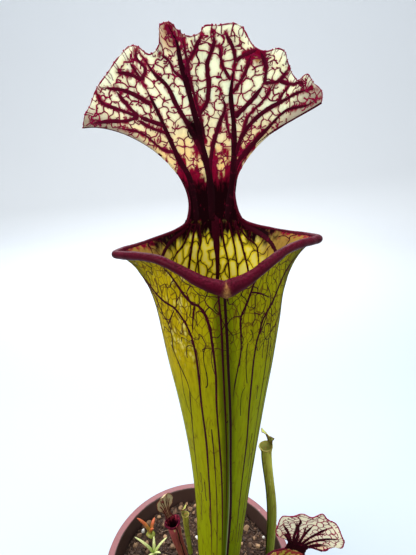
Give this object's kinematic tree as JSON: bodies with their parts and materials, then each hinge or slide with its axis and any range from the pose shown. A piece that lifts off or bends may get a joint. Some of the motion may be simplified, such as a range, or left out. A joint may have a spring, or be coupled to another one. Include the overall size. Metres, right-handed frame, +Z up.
{
  "type": "potted pitcher plant",
  "caption": "Trumpet pitcher plant in a plastic pot: a tall winged tube with a rolled lip and a wide, frilled, veined lid, with smaller pitchers beside it.",
  "frame": {"origin": "middle of the pot's flat underside, on the surface it stands on", "axes": "+Z up, +X to the viewer's right and -Y towards the viewer; the tall pitcher's mouth looks towards -Y"},
  "size_m": [0.1395, 0.13, 0.4351],
  "materials": {
    "terracotta_plastic": "dusty moulded plastic",
    "peat": "rough crumbly peat with grit",
    "rhizome": "fibrous and scaly",
    "pitcher_leaf": "satin living leaf",
    "pitcher_lid": "thin translucent leaf",
    "pitcher_vein": "raised dark veins",
    "pitcher_lip": "smooth waxy roll",
    "young_pitcher": "satin living leaf",
    "olive_leaf": "satin living leaf",
    "green_leaf": "satin living leaf",
    "red_leaf": "satin living leaf",
    "grit": "chalky mineral grains"
  },
  "bodies": {
    "root": {"pot": "terracotta_plastic", "soil": "peat", "rhizome": "rhizome", "tall_pitcher": "pitcher_leaf", "side_pitcher": "pitcher_leaf", "hooded_pitcher": "young_pitcher", "slender_pitcher_right": "olive_leaf", "slender_pitcher_left": "olive_leaf", "sword_leaf_right": "green_leaf", "sword_leaf_left": "green_leaf", "green_seedling": "green_leaf", "red_seedling": "red_leaf"}
  },
  "joints": []
}
